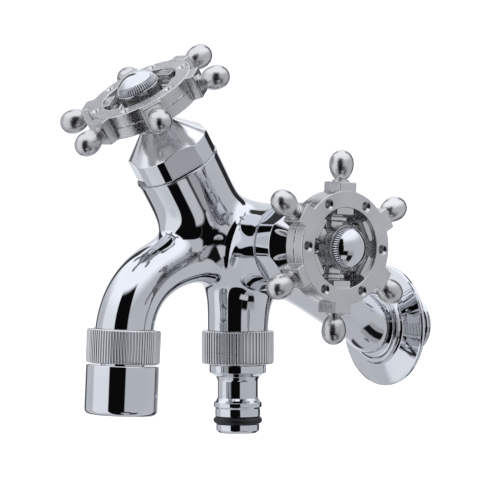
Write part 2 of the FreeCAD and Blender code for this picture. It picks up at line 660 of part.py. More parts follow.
# plain nozzle under the spout's union nut, with its screen
noz = new_body("spout_nozzle", SPOUT_F)
c0 = -u - 0.6
revolve(noz, "nozzle_turned", [
    (8.6, c0 - cap_hgt), (cap_rad - 2.6, c0 - cap_hgt), (cap_rad - 0.9, c0 - cap_hgt + 0.9), (cap_rad, c0 - cap_hgt + 2.8), (cap_rad, c0 - 0.4),
    (cap_rad - 0.4, c0), (7.8, c0), (7.8, -10.55), (9.65, -10.55), (9.65, -9.6), (6.8, -9.6), (6.8, -16.0), (10.6, -18.0), (10.6, -28.0), (8.6, -28.0)])
scr = new_body("spout_screen", SPOUT_F)
pad(scr, "screen_disc", "XY_Plane", 1.5, circles=[(0, 0, 10.5)], lift=-27.98)
doc.recompute()
v0 = scr.Shape.Volume
pat = [(2.7, 1), (5.4, 6), (8.4, 12)]
h0 = pocket(scr, "screen_middle", "XY_Plane", 6.0, circles=[(0, 0, 1.05)], mid=True, lift=-27.2)
scr.Tip = h0
h1 = pocket(scr, "screen_hole_a", "XY_Plane", 6.0, circles=[(2.8, 0, 1.05)], mid=True, lift=-27.2)
scr.Tip = h1
v0 = check_volume(scr, v0, -1, "screen hole")
polar(scr, "screen_ring_a", [h1], 6)
h2 = pocket(scr, "screen_hole_b", "XY_Plane", 6.0, circles=[(5.6, 0, 1.05)], mid=True, lift=-27.2)
scr.Tip = h2
doc.recompute()
polar(scr, "screen_ring_b", [h2], 12)
h3 = pocket(scr, "screen_hole_c", "XY_Plane", 6.0, circles=[(8.4, 0, 1.05)], mid=True, lift=-27.2)
scr.Tip = h3
doc.recompute()
polar(scr, "screen_ring_c", [h3], 18)
check_volume(scr, v0, -1, "screen rings")
gask2 = new_body("spout_gasket", SPOUT_F)
revolve(gask2, "gasket_cut", [(out_bore, -out_len - 0.55), (9.6, -out_len - 0.55), (9.6, -out_len - 0.02), (out_bore, -out_len - 0.02)])
doc.recompute()

# ---------------------------------------------------------------- checks and export
for o in doc.Objects:
    bad = [x for x in o.State if x in ("Invalid", "Error")]
    if bad:
        raise RuntimeError("object %s is %s" % (o.Label, bad))
for o, name in OUT:
    sh = o.Shape
    if sh.isNull() or not sh.isValid():
        raise RuntimeError("bad shape: " + name)
    if len(sh.Solids) != 1:
        raise RuntimeError("%s has %d solids" % (name, len(sh.Solids)))
os.makedirs("parts", exist_ok=True)
for o, name in OUT:
    o.Shape.exportStep("parts/%s.step" % name)
    bb = o.Shape.BoundBox
    print("%-22s vol %9.1f  x %.1f %.1f  y %.1f %.1f  z %.1f %.1f" % (name, o.Shape.Volume, bb.XMin, bb.XMax, bb.YMin, bb.YMax, bb.ZMin, bb.ZMax))
print(len(OUT), "nodes")
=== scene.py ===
import json
import math

import bmesh
import bpy
import numpy as np
from mathutils import Matrix, Vector


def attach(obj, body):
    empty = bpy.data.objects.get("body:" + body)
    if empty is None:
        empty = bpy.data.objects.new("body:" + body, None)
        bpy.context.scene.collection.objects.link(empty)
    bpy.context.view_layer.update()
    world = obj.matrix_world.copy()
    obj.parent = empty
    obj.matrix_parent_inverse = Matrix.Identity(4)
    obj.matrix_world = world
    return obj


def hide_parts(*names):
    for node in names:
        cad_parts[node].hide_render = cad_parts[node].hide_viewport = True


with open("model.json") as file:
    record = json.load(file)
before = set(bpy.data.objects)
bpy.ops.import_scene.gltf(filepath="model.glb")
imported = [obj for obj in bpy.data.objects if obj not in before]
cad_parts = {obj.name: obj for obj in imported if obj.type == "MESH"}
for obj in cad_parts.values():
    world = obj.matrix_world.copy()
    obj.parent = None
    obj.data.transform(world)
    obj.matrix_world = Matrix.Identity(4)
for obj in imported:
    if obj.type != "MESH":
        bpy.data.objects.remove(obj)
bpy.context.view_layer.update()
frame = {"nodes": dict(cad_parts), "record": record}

MM = 0.001
NODE_BODY = {n: b for b, ns in frame["record"]["behaviour"]["bodies"].items() for n in ns}

# ------------------------------------------------------------------ frames
def arr(*v):
    return np.array(v, float)


def unit(v):
    return v / np.linalg.norm(v)


def frame_on(o, z, x):
    """4x4 frame, millimetres, from an origin, a +Z and a rough +X."""
    z = unit(np.asarray(z, float))
    x = np.asarray(x, float)
    x = unit(x - z * (x @ z))
    m = np.eye(4)
    m[:3, 0], m[:3, 1], m[:3, 2], m[:3, 3] = x, np.cross(z, x), z, o
    return m


def shifted(m, z=0.0, turn=0.0):
    """The frame moved along its own +Z and then turned about it, in degrees."""
    c, s = math.cos(math.radians(turn)), math.sin(math.radians(turn))
    t = np.array([[c, -s, 0, 0], [s, c, 0, 0], [0, 0, 1, z], [0, 0, 0, 1]], float)
    return m @ t


LEAN = math.radians(32.0)
TILT = math.radians(3.0)
NODE = arr(0, -70.5, 32.0)
TOP_O, TOP_AX = arr(0, -98.3, 60.4), arr(0, -math.sin(LEAN), math.cos(LEAN))
SIDE_O, SIDE_AX = arr(28.2, -70.5, 32.0), arr(1, 0, 0)
TOP_F = frame_on(TOP_O, TOP_AX, arr(1, 0, 0))
SIDE_F = frame_on(SIDE_O, SIDE_AX, arr(0, 0, 1))
SPOUT_UP = arr(0, math.sin(TILT), math.cos(TILT))
SPOUT_O = arr(0, -121.55, 3.0)
SPOUT_F = frame_on(SPOUT_O, SPOUT_UP, arr(1, 0, 0))
HOSE_O = arr(0, -70.5, 0.8)
HOSE_F = frame_on(HOSE_O, arr(0, 0, 1), arr(1, 0, 0))
WALL_F = frame_on(arr(0, 0, 0), arr(0, -1, 0), arr(1, 0, 0))
RISE = math.radians(28.0)
LEG_DIR = arr(0, -math.cos(RISE), math.sin(RISE))
LEG_A = arr(0, -5.6, -0.9)


# ------------------------------------------------------------------ mesh store
class Build:
    """Gathers shells, each with its own corner normals, into one mesh."""

    def __init__(self):
        self.v, self.f, self.n, self.m = [], [], [], []
        self.count = 0

    def add(self, v, faces, normals, slot=0, m=None):
        """v (N,3) mm; faces list of index tuples; normals list of (len(face),3) arrays, or None."""
        v = np.asarray(v, float)
        if m is not None:
            v = v @ m[:3, :3].T + m[:3, 3]
            if normals is not None:
                normals = [np.asarray(n, float) @ m[:3, :3].T for n in normals]
        self.v.append(v)
        self.f += [tuple(int(i) + self.count for i in q) for q in faces]
        self.n += list(normals) if normals is not None else [None] * len(faces)
        self.m += [slot] * len(faces)
        self.count += len(v)
        return self

    def object(self, name, mats, angle=None):
        mesh = bpy.data.meshes.new(name)
        mesh.from_pydata((np.concatenate(self.v) * MM).tolist(), [], self.f)
        for mat in mats:
            mesh.materials.append(mat)
        mesh.polygons.foreach_set("material_index", np.array(self.m, np.int32))
        mesh.polygons.foreach_set("use_smooth", np.ones(len(self.f), bool))
        mesh.update()
        ob = bpy.data.objects.new(name, mesh)
        bpy.context.scene.collection.objects.link(ob)
        if any(n is not None for n in self.n):
            if any(n is None for n in self.n):
                base = np.zeros(len(mesh.loops) * 3)
                mesh.corner_normals.foreach_get("vector", base)
                base = base.reshape(-1, 3)
                at = 0
                for q, n in zip(self.f, self.n):
                    if n is not None:
                        base[at:at + len(q)] = n
                    at += len(q)
                loops = base
            else:
                loops = np.concatenate([np.asarray(n, float).reshape(-1, 3) for n in self.n])
            ln = np.linalg.norm(loops, axis=1, keepdims=True)
            loops = loops / np.where(ln < 1e-9, 1, ln)
            mesh.normals_split_custom_set(loops.tolist())
        elif angle is not None:
            mesh.set_sharp_from_angle(angle=math.radians(angle))
        return ob


# ------------------------------------------------------------------ turned shells
def profile(pts, closed=True, steps=6):
    """Points (r, z) or (r, z, fillet) -> [(r, z, normal before, normal after)], normals pointing out of the solid."""
    P = [arr(p[0], p[1]) for p in pts]
    F = [p[2] if len(p) > 2 else 0.0 for p in pts]
    n = len(P)
    area = 0.0
    for i in range(n):
        a, b = P[i], P[(i + 1) % n]
        area += a[0] * b[1] - b[0] * a[1]
    sgn = 1.0 if area > 0 else -1.0

    def nrm(d):
        return arr(d[1], -d[0]) * sgn

    out = []
    for i in range(n):
        first, last = (not closed and i == 0), (not closed and i == n - 1)
        if first or last:
            d = unit(P[i + 1] - P[i]) if first else unit(P[i] - P[i - 1])
            out.append((P[i], nrm(d), nrm(d)))
            continue
        p, q, r = P[i - 1], P[i], P[(i + 1) % n]
        d0, d1 = unit(q - p), unit(r - q)
        cr = d0[0] * d1[1] - d0[1] * d1[0]
        turn = math.atan2(cr, float(d0 @ d1))
        f = F[i]
        if f <= 0 or abs(turn) < 1e-3:
            out.append((q, nrm(d0), nrm(d1)))
            continue
        t = f * math.tan(abs(turn) / 2)
        room = 0.48 * min(np.linalg.norm(q - p), np.linalg.norm(r - q))
        if t > room:
            f *= room / t
            t = room
        side = 1.0 if turn > 0 else -1.0
        s0 = arr(-d0[1], d0[0]) * side
        c = q - d0 * t + s0 * f
        k = max(2, int(math.ceil(abs(turn) / math.radians(90.0 / steps))))
        for j in range(k + 1):
            a = turn * j / k
            ca, sa = math.cos(a), math.sin(a)
            v = -s0
            v = arr(v[0] * ca - v[1] * sa, v[0] * sa + v[1] * ca)
            nn = v * side * sgn
            out.append((c + v * f, nn, nn))
    return out, closed, sgn


def lathe(b, pts, m, slot=0, segs=128, closed=True, steps=6, a0=0.0, warp=None):
    """Adds a turned shell about the frame's +Z."""
    prof, closed, sgn = profile(pts, closed, steps)
    th = np.arange(segs) * 2 * math.pi / segs + a0
    cs, sn = np.cos(th), np.sin(th)
    v, start = [], []
    for p, _, _ in prof:
        start.append(sum(len(x) for x in v))
        if p[0] < 1e-6:
            v.append(np.array([[0.0, 0.0, p[1]]]))
        else:
            v.append(np.stack([p[0] * cs, p[0] * sn, np.full(segs, p[1])], 1))
    V = np.concatenate(v)
    faces, normals = [], []
    n = len(prof)
    for i in range(n if closed else n - 1):
        j = (i + 1) % n
        pi, pj = prof[i], prof[j]
        if np.linalg.norm(pi[0] - pj[0]) < 1e-7:
            continue
        ai, aj = pi[0][0] < 1e-6, pj[0][0] < 1e-6
        if ai and aj:
            continue
        ni, nj = pi[2], pj[1]
        for k in range(segs):
            l = (k + 1) % segs
            Ni = [arr(ni[0] * cs[k], ni[0] * sn[k], ni[1]), arr(ni[0] * cs[l], ni[0] * sn[l], ni[1])]
            Nj = [arr(nj[0] * cs[k], nj[0] * sn[k], nj[1]), arr(nj[0] * cs[l], nj[0] * sn[l], nj[1])]
            if ai:
                q, nn = [start[i], start[j] + l, start[j] + k], [(Ni[0] + Ni[1]), Nj[1], Nj[0]]
            elif aj:
                q, nn = [start[i] + k, start[i] + l, start[j]], [Ni[0], Ni[1], (Nj[0] + Nj[1])]
            else:
                q, nn = [start[i] + k, start[i] + l, start[j] + l, start[j] + k], [Ni[0], Ni[1], Nj[1], Nj[0]]
            if sgn < 0:
                q, nn = q[::-1], nn[::-1]
            faces.append(q)
            normals.append(np.array(nn))
    if warp is not None:
        V = warp(V)
        normals = None
    b.add(V, faces, normals, slot, m)
    return b


def grid_shell(b, V, closed_u=True, slot=0, m=None, flip=False, caps=False):
    """Adds a sheet of points V[i, j]; j wraps round when closed_u.  With caps each end is closed with a fan."""
    a, c = V.shape[:2]
    faces = []
    for i in range(a - 1):
        for j in range(c if closed_u else c - 1):
            k = (j + 1) % c
            q = [i * c + j, i * c + k, (i + 1) * c + k, (i + 1) * c + j]
            faces.append(q[::-1] if flip else q)
    P = V.reshape(-1, 3)
    if caps:
        lo, hi = len(P), len(P) + 1
        P = np.concatenate([P, V[0].mean(0)[None], V[-1].mean(0)[None]])
        for j in range(c):
            k = (j + 1) % c
            q0, q1 = [lo, k, j], [hi, (a - 1) * c + j, (a - 1) * c + k]
            faces += [q0[::-1], q1[::-1]] if flip else [q0, q1]
    b.add(P, faces, None, slot, m)
    return b


def screw(b, m, z0, z1, rad, depth, pitch, inner, slot=0, segs=72, taper=0.0, floor=None):
    """A screw thread with a plain bore: outer helix, chamfered ends, and a wall back to the bore."""
    per = 10
    n = int(round(abs(z1 - z0) / pitch * per))
    z = np.linspace(z0, z1, n + 1)
    th = np.arange(segs) * 2 * math.pi / segs
    Z, T = np.meshgrid(z, th, indexing="ij")
    ph = (Z / pitch - T / (2 * math.pi)) % 1.0
    tri = np.clip(np.abs(ph - 0.5) * 2 * 1.25 - 0.12, 0, 1)
    run = np.minimum(np.abs(Z - z0), np.abs(Z - z1))
    R = rad - depth * tri - np.maximum(0.9 - run, 0) * 0.9 * (depth / 0.9)
    R = np.minimum(R, rad - np.maximum(1.0 - run, 0) * depth)
    R += taper * (Z - z0)
    V = np.stack([R * np.cos(T), R * np.sin(T), Z], -1)
    ring0 = np.stack([inner * np.cos(th), inner * np.sin(th), np.full(segs, z0)], 1)
    fl = z1 if floor is None else floor
    ring1 = np.stack([inner * np.cos(th), inner * np.sin(th), np.full(segs, fl)], 1)
    a, c = V.shape[:2]
    P = np.concatenate([V.reshape(-1, 3), ring0, ring1, [[0, 0, fl]], [[0, 0, z1]]])
    i0, i1, cf, ct = a * c, a * c + segs, a * c + 2 * segs, a * c + 2 * segs + 1
    faces = []
    up = 1 if z1 > z0 else -1
    for i in range(a - 1):
        for j in range(c):
            k = (j + 1) % c
            faces.append([i * c + j, i * c + k, (i + 1) * c + k, (i + 1) * c + j][::up])
    for j in range(c):
        k = (j + 1) % c
        faces.append([i0 + j, i0 + k, k, j][::up])
        faces.append([i1 + j, i1 + k, i0 + k, i0 + j][::up])
        faces.append([cf, i1 + k, i1 + j][::up])
        faces.append([ct, (a - 1) * c + j, (a - 1) * c + k][::up])
    b.add(P, faces, None, slot, m)
    return b


# ------------------------------------------------------------------ blended surfaces
def smin(a, b, k):
    """Smooth minimum whose second derivative is continuous."""
    h = np.maximum(k - np.abs(a - b), 0.0) / k
    return np.minimum(a, b) - h * h * h * k / 6.0


def capsule(P, a, b, ra, rb=None):
    rb = ra if rb is None else rb
    d = b - a
    t = np.clip(((P - a) @ d) / (d @ d), 0.0, 1.0)
    return np.linalg.norm(P - a - t[:, None] * d, axis=1) - (ra + (rb - ra) * t)


def bezier_tube(P, B, r0, r1):
    """Distance to a tube swept along a cubic curve in the plane x = 0."""
    B = np.asarray(B, float)
    q = P[:, 1:]

    def at(t):
        s = 1 - t
        return (s**3)[:, None] * B[0] + (3 * s * s * t)[:, None] * B[1] + (3 * s * t * t)[:, None] * B[2] + (t**3)[:, None] * B[3]

    def d1(t):
        s = 1 - t
        return 3 * ((s * s)[:, None] * (B[1] - B[0]) + (2 * s * t)[:, None] * (B[2] - B[1]) + (t * t)[:, None] * (B[3] - B[2]))

    def d2(t):
        s = 1 - t
        return 6 * (s[:, None] * (B[2] - 2 * B[1] + B[0]) + t[:, None] * (B[3] - 2 * B[2] + B[1]))

    ts = np.linspace(0, 1, 25)
    best, t = np.full(len(P), 1e9), np.zeros(len(P))
    for s, c in zip(ts, at(ts)):
        d = ((q - c) ** 2).sum(1)
        near = d < best
        best[near] = d[near]
        t[near] = s
    for _ in range(3):
        e = at(t) - q
        a, b = d1(t), d2(t)
        g = (e * a).sum(1)
        h = (a * a).sum(1) + (e * b).sum(1)
        h = np.where(h > 1e-3, h, (a * a).sum(1))
        t = np.clip(t - g / h, 0.0, 1.0)
    e = at(t) - q
    return np.sqrt(P[:, 0] ** 2 + (e * e).sum(1)) - (r0 + (r1 - r0) * t)


SPOUT_CURVE = [(-121.74, -0.65), (-120.83, 16.95), (-108.53, 26.08), (-89.45, 28.49)]


def casting(P):
    """Signed distance, near the surface, of the cast body."""
    top = capsule(P, TOP_O + TOP_AX, TOP_O - TOP_AX * 24.0, 15.15, 14.9)
    side = capsule(P, SIDE_O + SIDE_AX * 6.0, NODE + SIDE_AX * 2.0, 15.1, 14.4)
    spout = bezier_tube(P, SPOUT_CURVE, 10.36, 9.64)
    hose = capsule(P, NODE + arr(0, 0, -60.0), NODE + arr(0, 0, -6.0), 10.85)
    leg = capsule(P, LEG_A + LEG_DIR * 2.0, LEG_A + LEG_DIR * 70.0, 9.25, 8.9)
    heel = capsule(P, arr(0, -6.4, 0.1), arr(0, -7.2, 0.1), 9.9)
    d = smin(smin(top, side, 11.0), spout, 12.0)
    e = smin(smin(leg, heel, 4.0), hose, 24.0)
    return smin(d, e, 13.0)


def surface_net(f, lo, hi, h):
    """Quads on the zero surface of f, on a grid of size h; only cells near the surface are evaluated finely."""
    lo = np.asarray(lo, float)
    n = np.ceil((np.asarray(hi, float) - lo) / h).astype(int) + 1
    c = 4
    nc = (n + c - 1) // c + 1
    G = np.stack(np.meshgrid(*[lo[i] + h * c * np.arange(nc[i]) for i in range(3)], indexing="ij"), -1).reshape(-1, 3)
    vc = f(G).reshape(nc)
    near = np.abs(vc) < h * c * 1.8
    pick = [np.minimum(np.round(np.arange(n[i]) / c).astype(int), nc[i] - 1) for i in range(3)]
    full = vc[np.ix_(*pick)].copy()
    need = near[np.ix_(*pick)]
    w = np.argwhere(need)
    vals = np.empty(len(w))
    for s in range(0, len(w), 300000):
        vals[s:s + 300000] = f(lo + h * w[s:s + 300000])
    full[need] = vals
    I = full < 0
    cnt = np.zeros(tuple(n - 1), np.int8)
    for dx in (0, 1):
        for dy in (0, 1):
            for dz in (0, 1):
                cnt += I[dx:n[0] - 1 + dx, dy:n[1] - 1 + dy, dz:n[2] - 1 + dz]
    act = (cnt > 0) & (cnt < 8)
    cells = np.argwhere(act)
    ids = np.full(tuple(n - 1), -1, np.int64)
    ids[act] = np.arange(len(cells))
    acc, num = np.zeros((len(cells), 3)), np.zeros(len(cells))
    for ax in range(3):
        o = [k for k in range(3) if k != ax]
        for a0 in (0, 1):
            for a1 in (0, 1):
                s = np.zeros(3, int)
                s[o[0]], s[o[1]] = a0, a1
                e = s.copy()
                e[ax] = 1
                A, B = cells + s, cells + e
                va, vb = full[A[:, 0], A[:, 1], A[:, 2]], full[B[:, 0], B[:, 1], B[:, 2]]
                m = (va < 0) != (vb < 0)
                p = s + np.zeros((len(cells), 3))
                p[m, ax] += va[m] / (va[m] - vb[m])
                acc[m] += p[m]
                num[m] += 1
    V = lo + h * (cells + acc / num[:, None])
    quads = []
    for ax in range(3):
        o1, o2 = (ax + 1) % 3, (ax + 2) % 3
        a, b = [slice(None)] * 3, [slice(None)] * 3
        a[ax], b[ax] = slice(0, n[ax] - 1), slice(1, n[ax])
        w = np.argwhere(I[tuple(a)] != I[tuple(b)])
        w = w[(w[:, o1] > 0) & (w[:, o2] > 0) & (w[:, o1] < n[o1] - 1) & (w[:, o2] < n[o2] - 1)]
        s0 = I[w[:, 0], w[:, 1], w[:, 2]]

        def cid(d1, d2):
            k = w.copy()
            k[:, o1] -= d1
            k[:, o2] -= d2
            return ids[k[:, 0], k[:, 1], k[:, 2]]

        q = np.stack([cid(1, 1), cid(0, 1), cid(0, 0), cid(1, 0)], 1)
        q[~s0] = q[~s0][:, ::-1]
        quads.append(q)
    Q = np.concatenate(quads)
    return V, Q[(Q >= 0).all(1)]


def gradient(f, P, e=0.02):
    g = np.zeros_like(P)
    for i in range(3):
        d = np.zeros(3)
        d[i] = e
        g[:, i] = (f(P + d) - f(P - d)) / (2 * e)
    return g


def polish(f, V, steps=3, reach=0.6):
    """Moves the vertices onto the zero surface along the gradient."""
    V = V.copy()
    for _ in range(steps):
        g = gradient(f, V)
        V -= g * np.clip(f(V) / np.maximum((g * g).sum(1), 1e-3), -reach, reach)[:, None]
    return V


# ------------------------------------------------------------------ materials
def nodes_of(name):
    mat = bpy.data.materials.new(name)
    mat.use_nodes = True
    nt = mat.node_tree
    return mat, nt, nt.nodes["Principled BSDF"]


def link(nt, a, ao, b, bi):
    nt.links.new(a.outputs[ao], b.inputs[bi])


def noise(nt, scale, detail=3.0, rough=0.55, coord=None, stretch=None):
    n = nt.nodes.new("ShaderNodeTexNoise")
    n.inputs["Scale"].default_value = scale
    n.inputs["Detail"].default_value = detail
    n.inputs["Roughness"].default_value = rough
    if coord is not None:
        if stretch is not None:
            mp = nt.nodes.new("ShaderNodeMapping")
            mp.inputs["Scale"].default_value = stretch
            nt.links.new(coord, mp.inputs["Vector"])
            coord = mp.outputs["Vector"]
        nt.links.new(coord, n.inputs["Vector"])
    return n


def ranged(nt, src, lo, hi, a=0.0, b=1.0):
    m = nt.nodes.new("ShaderNodeMapRange")
    m.inputs["From Min"].default_value = a
    m.inputs["From Max"].default_value = b
    m.inputs["To Min"].default_value = lo
    m.inputs["To Max"].default_value = hi
    nt.links.new(src, m.inputs["Value"])
    return m.outputs["Result"]


def bump(nt, src, strength, dist, prev=None):
    b = nt.nodes.new("ShaderNodeBump")
    b.inputs["Strength"].default_value = strength
    b.inputs["Distance"].default_value = dist
    nt.links.new(src, b.inputs["Height"])
    if prev is not None:
        nt.links.new(prev, b.inputs["Normal"])
    return b.outputs["Normal"]


def metal(name, low, high, rough, wave=0.0, wave_scale=90.0, grain=0.0, grain_scale=3500.0, spot=0.0, stretch=None):
    """A plated metal: colour between low and high, roughness range, slow waviness and fine grain."""
    mat, nt, p = nodes_of(name)
    tc = nt.nodes.new("ShaderNodeTexCoord").outputs["Object"]
    p.inputs["Metallic"].default_value = 1.0
    slow = noise(nt, 60.0, 2.0, coord=tc)
    mix = nt.nodes.new("ShaderNodeMix")
    mix.data_type = "RGBA"
    mix.inputs["A"].default_value = (*low, 1)
    mix.inputs["B"].default_value = (*high, 1)
    nt.links.new(ranged(nt, slow.outputs["Fac"], 0.0, 1.0, 0.3, 0.7), mix.inputs["Factor"])
    nt.links.new(mix.outputs["Result"], p.inputs["Base Color"])
    fine = noise(nt, grain_scale if grain else 420.0, 2.0, coord=tc, stretch=stretch)
    nt.links.new(ranged(nt, fine.outputs["Fac"], rough[0], rough[1], 0.3, 0.7), p.inputs["Roughness"])
    nrm = None
    if wave:
        w = noise(nt, wave_scale, 1.0, coord=tc)
        nrm = bump(nt, w.outputs["Fac"], wave, 0.001)
    if grain:
        nrm = bump(nt, fine.outputs["Fac"], grain, 0.00006, nrm)
    if nrm is not None:
        nt.links.new(nrm, p.inputs["Normal"])
    return mat


CHROME_LO, CHROME_HI = (0.66, 0.675, 0.71), (0.72, 0.73, 0.755)
M_CAST = metal("chrome_cast", CHROME_LO, CHROME_HI, (0.018, 0.045), wave=0.012, wave_scale=45.0)
M_PLATE = metal("chrome_plate", CHROME_LO, CHROME_HI, (0.015, 0.04), wave=0.012, wave_scale=120.0)
M_SATIN = metal("satin_cast", (0.60, 0.60, 0.605), (0.70, 0.70, 0.70), (0.16, 0.30), grain=0.3, grain_scale=2600.0)
M_BAND = metal("satin_band", (0.58, 0.58, 0.585), (0.68, 0.68, 0.68), (0.16, 0.36), grain=0.5, grain_scale=1800.0)
M_KNOB = metal("smooth_cast", (0.56, 0.555, 0.55), (0.70, 0.695, 0.69), (0.2, 0.34), grain=0.4, grain_scale=2400.0)
# painted light: a brighter, rougher copy of the plated chrome, used only on the top cap nut's cone so that it reads
# pale where it would reflect the dark underside of the wheel; the side nut's cone keeps the plain plate
M_CONE_LIT = metal("chrome_cone_painted_light", (0.82, 0.83, 0.85), (0.90, 0.905, 0.92), (0.14, 0.2), wave=0.008, wave_scale=120.0)
M_KNURL = metal("satin_knurl", (0.64, 0.65, 0.66), (0.72, 0.73, 0.74), (0.03, 0.08), grain=0.05, grain_scale=2400.0)
M_BRASS = metal("brass", (0.62, 0.47, 0.22), (0.70, 0.55, 0.28), (0.18, 0.34), grain=0.2, grain_scale=2000.0)
M_STEEL = metal("steel", (0.46, 0.46, 0.47), (0.56, 0.56, 0.57), (0.2, 0.36), grain=0.2, grain_scale=2400.0)


def rubber():
    mat, nt, p = nodes_of("rubber")
    tc = nt.nodes.new("ShaderNodeTexCoord").outputs["Object"]
    slow, fine = noise(nt, 500.0, 3.0, coord=tc), noise(nt, 5200.0, 2.0, coord=tc)
    mix = nt.nodes.new("ShaderNodeMix")
    mix.data_type = "RGBA"
    mix.inputs["A"].default_value = (0.009, 0.009, 0.010, 1)
    mix.inputs["B"].default_value = (0.020, 0.020, 0.022, 1)
    nt.links.new(slow.outputs["Fac"], mix.inputs["Factor"])
    nt.links.new(mix.outputs["Result"], p.inputs["Base Color"])
    nt.links.new(ranged(nt, fine.outputs["Fac"], 0.32, 0.5, 0.3, 0.7), p.inputs["Roughness"])
    nt.links.new(bump(nt, fine.outputs["Fac"], 0.25, 0.00005), p.inputs["Normal"])
    return mat


M_RUBBER = rubber()
BY_SLOT = {
    "chrome_cast": M_CAST, "chrome_plate": M_PLATE, "satin_cast": M_SATIN, "satin_knurl": M_KNURL, "brass": M_BRASS,
    "steel": M_STEEL, "rubber": M_RUBBER}
SLOT_OF = {s["node"]: s["material_slot"] for s in frame["record"]["subparts"]}
for node, ob in frame["nodes"].items():
    mat = BY_SLOT[SLOT_OF[node]]
    if len(ob.material_slots) == 0:
        ob.data.materials.append(mat)
    for s in ob.material_slots:
        s.material = mat


def place(ob, node, *more):
    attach(ob, NODE_BODY[node])
    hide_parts(node, *more)
    return ob


# ------------------------------------------------------------------ cast body
def cut_end(bm, origin, axis, region, pocket, depth, tags):
    """Cuts the skin square to an axis, and closes it with a flat ring and a blind pocket."""
    geom_f = [f for f in bm.faces if region(f.calc_center_median())]
    geom = set(geom_f)
    for f in geom_f:
        geom.update(f.edges)
        geom.update(f.verts)
    co, no = Vector(origin), Vector(axis)
    bmesh.ops.bisect_plane(bm, geom=list(geom), dist=1e-5, plane_co=co, plane_no=no, clear_outer=True)
    rim = [v for v in bm.verts if v.is_boundary and abs((v.co - co).dot(no)) < 1e-3]
    x = unit(np.cross(axis, arr(0.3, 0.5, 0.8)))
    y = np.cross(axis, x)

    def ang(v):
        d = np.array(v.co) - origin
        return math.atan2(d @ y, d @ x)

    rim.sort(key=ang)
    n = len(rim)

    def ring(r, h):
        return [bm.verts.new(Vector(origin + axis * h + (x * math.cos(ang(v)) + y * math.sin(ang(v))) * r)) for v in rim]

    a, b = ring(pocket, 0.0), ring(pocket, -depth)
    mid = bm.verts.new(Vector(origin - axis * depth))
    for i in range(n):
        j = (i + 1) % n
        for q, t in (((rim[i], rim[j], a[j], a[i]), "flat"), ((a[i], a[j], b[j], b[i]), "wall"), ((b[i], b[j], mid), "flat")):
            f = bm.faces.new(q)
            f.tag = True
            tags[f] = (t, axis, origin)


def body_skin():
    h = 0.8
    V, Q = surface_net(casting, (-20, -142, -14), (36, 6, 84), h)
    V = polish(casting, V)
    bm = bmesh.new()
    vs = [bm.verts.new(v) for v in V]
    for q in Q:
        bm.faces.new([vs[i] for i in q])
    bm.verts.index_update()
    tags = {}
    cut_end(bm, TOP_O - TOP_AX * 1.0, TOP_AX, lambda c: (np.array(c) - TOP_O) @ TOP_AX > -6, 9.4, 21.0, tags)
    cut_end(bm, SIDE_O - SIDE_AX * 1.0, SIDE_AX, lambda c: c.x > 22.0, 9.4, 21.0, tags)
    cut_end(bm, HOSE_O + arr(0, 0, 0.1), arr(0, 0, -1.0), lambda c: -86 < c.y < -56 and c.z < 6, 9.0, 7.0, tags)
    cut_end(bm, SPOUT_O + SPOUT_UP * 0.1, -SPOUT_UP, lambda c: c.y < -105 and c.z < 9, 9.0, 7.0, tags)
    bmesh.ops.recalc_face_normals(bm, faces=[f for f in bm.faces])
    bm.verts.index_update()
    P = np.array([v.co[:] for v in bm.verts])
    G = gradient(casting, P)
    G /= np.maximum(np.linalg.norm(G, axis=1, keepdims=True), 1e-9)
    faces, normals = [], []
    for f in bm.faces:
        ids = [v.index for v in f.verts]
        faces.append(ids)
        if f in tags:
            t, axis, origin = tags[f]
            if t == "flat":
                normals.append(np.repeat([axis], len(ids), 0))
            else:
                d = P[ids] - origin
                d -= np.outer(d @ axis, axis)
                normals.append(-d)
        else:
            normals.append(G[ids])
    bm.free()
    return P, faces, normals


def make_body():
    b = Build()
    P, faces, normals = body_skin()
    b.add(P, faces, normals, 0)
    for F in (TOP_F, SIDE_F):
        # the machined rim under the cap nut, and the threaded spigot inside it
        lathe(b, [(9.0, -1.0), (15.1, -1.0), (15.42, -0.92, 0.08), (15.42, -0.30, 0.14), (15.05, -0.22), (15.05, 0.0, 0.1), (12.6, 0.0), (12.6, -0.4), (9.0, -0.4)], F, 1, 160)
        screw(b, F, -0.5, 8.0, 12.45, 0.55, 1.5, 9.05, 1, 96, floor=-0.4)
    for F in (HOSE_F, SPOUT_F):
        screw(b, shifted(F, 0.0), -9.0, 0.4, 10.0, 0.55, 1.6, 6.8, 1, 96, floor=0.2)
    # inlet thread behind the wall plane, and the round base in front of it
    T = frame_on(arr(0, 0, 0), arr(0, 1, 0), arr(1, 0, 0))
    screw(b, T, 14.0, -2.0, 10.42, 0.62, 1.81, 7.2, 1, 120, floor=2.4)
    lathe(b, [(0, 2.4), (11.95, 2.4), (11.95, 6.4, 0.8), (0, 6.4)], WALL_F, 0, 128, closed=False)
    ob = b.object("tap_body", [M_CAST, M_PLATE])
    return place(ob, "body")


make_body()

# ------------------------------------------------------------------ wall flange
def make_flange():
    b = Build()
    lathe(b, [(10.75, 0.0), (22.1, 0.0, 0.3), (22.4, 0.5, 0.3), (22.4, 1.35, 0.35), (21.75, 1.75, 0.5), (16.4, 3.55, 5.0), (14.35, 4.35, 1.6),
              (13.7, 5.1, 0.9), (13.7, 6.2, 0.42), (12.2, 6.2, 0.3), (12.2, 2.3), (10.75, 2.3)], WALL_F, 0, 192, steps=10)
    return place(b.object("wall_flange_plate", [M_PLATE]), "wall_flange")


make_flange()


